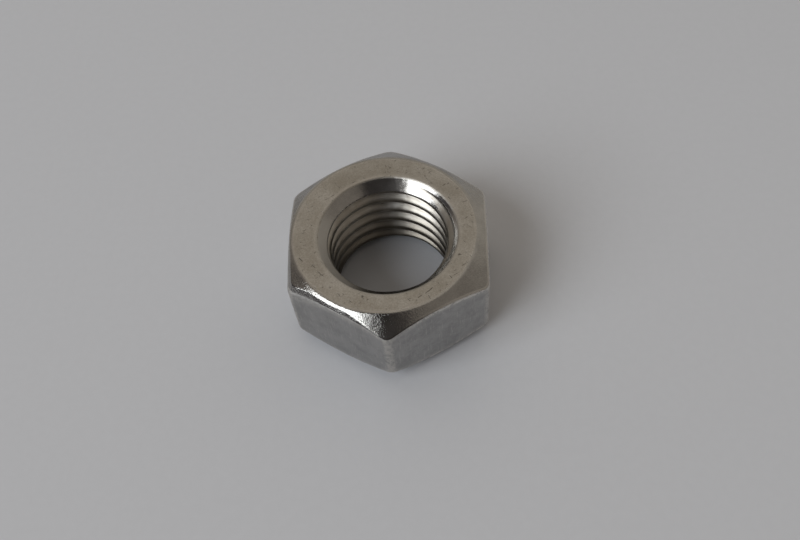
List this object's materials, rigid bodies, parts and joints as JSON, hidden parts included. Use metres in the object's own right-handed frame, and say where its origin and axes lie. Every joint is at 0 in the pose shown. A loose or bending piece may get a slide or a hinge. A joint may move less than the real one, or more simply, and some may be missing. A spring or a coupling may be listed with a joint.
{
  "type": "axle nut",
  "caption": "Hexagon axle nut with rounded forged corners, chamfered bearing faces and a countersunk threaded bore, for clamping a wheel on its axle.",
  "frame": {"origin": "middle of the lower bearing face, on the thread's axis", "axes": "+Z along the bore to the upper bearing face, +X square to a spanner flat, +Y towards a corner"},
  "size_m": [0.024, 0.0274, 0.0125],
  "materials": {
    "stainless_steel": "satin, tumbled after forging"
  },
  "bodies": {
    "root": {"axle_nut": "stainless_steel"}
  },
  "joints": []
}
